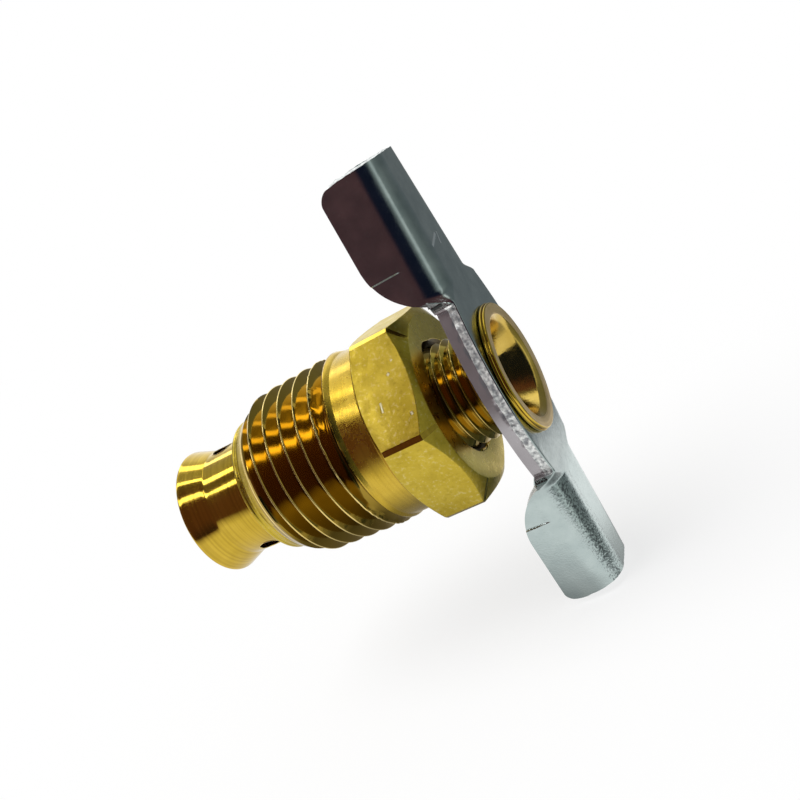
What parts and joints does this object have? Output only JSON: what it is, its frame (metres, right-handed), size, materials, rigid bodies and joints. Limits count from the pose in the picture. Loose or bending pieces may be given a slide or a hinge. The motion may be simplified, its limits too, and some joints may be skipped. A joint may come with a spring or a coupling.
{
  "type": "drain cock",
  "caption": "Screw-in brass drain cock: hexagon body with a taper pipe thread, a hollow cone-headed stem and a zinc-plated wing handle that opens and closes it.",
  "frame": {"origin": "on the thread axis, at the side of the hexagon that meets the shank", "axes": "+X along the axis from the pipe thread towards the handle, +Z along the wings at rest, +Y across them"},
  "size_m": [0.0277, 0.0162, 0.0348],
  "materials": {
    "body_brass": "turned, bright",
    "stem_brass": "turned, bright",
    "zinc_steel": "zinc plated"
  },
  "bodies": {
    "root": {"valve_body": "body_brass"},
    "stem": {"stem": "stem_brass"},
    "handle": {"wing_handle": "zinc_steel"}
  },
  "joints": [
    {"name": "stem_slide", "type": "slide", "parent": "root", "child": "stem", "axis": [1, 0, 0], "range_m": [-0.00251, 0.00391]},
    {"name": "handle_turn", "type": "hinge", "parent": "stem", "child": "handle", "pos_m": [0, 0, 0], "axis": [1, 0, 0], "range_deg": [-1200, 1872]}
  ],
  "couplings": [
    {"joint": "stem_slide", "follows": "handle_turn", "m_per_rad": 0.00011937}
  ]
}
